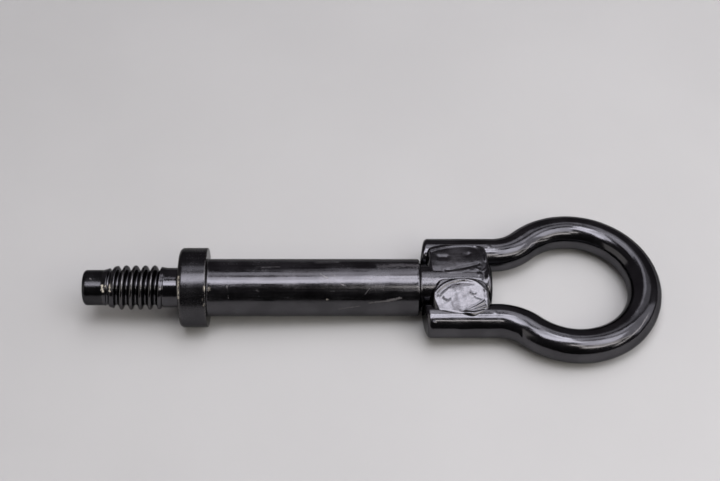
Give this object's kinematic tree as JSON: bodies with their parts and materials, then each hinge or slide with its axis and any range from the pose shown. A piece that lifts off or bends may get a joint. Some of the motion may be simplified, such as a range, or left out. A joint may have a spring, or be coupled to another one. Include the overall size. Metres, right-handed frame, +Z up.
{
  "type": "tow eye",
  "caption": "Screw-in towing eye: turned shank with coarse left-hand thread, pilot and stop collar, and a round bar bent to an eye and welded along the shank's spigot, in gloss black paint.",
  "frame": {"origin": "middle of the part's box on the surface it lies on", "axes": "+X along the part from the thread to the eye, +Z up; the shank dips about 3 degrees towards the eye, as the tow eye lies on its collar and the end of its eye"},
  "size_m": [0.2212, 0.0676, 0.0308],
  "materials": {
    "black_paint": "gloss black dipped paint over steel, worn at edges",
    "weld_paint": "gloss black paint over rippled weld metal"
  },
  "bodies": {
    "root": {"shank": "black_paint", "eye": "black_paint", "weld_upper_left": "weld_paint", "weld_upper_right": "weld_paint", "weld_lower_left": "weld_paint", "weld_lower_right": "weld_paint"}
  },
  "joints": []
}
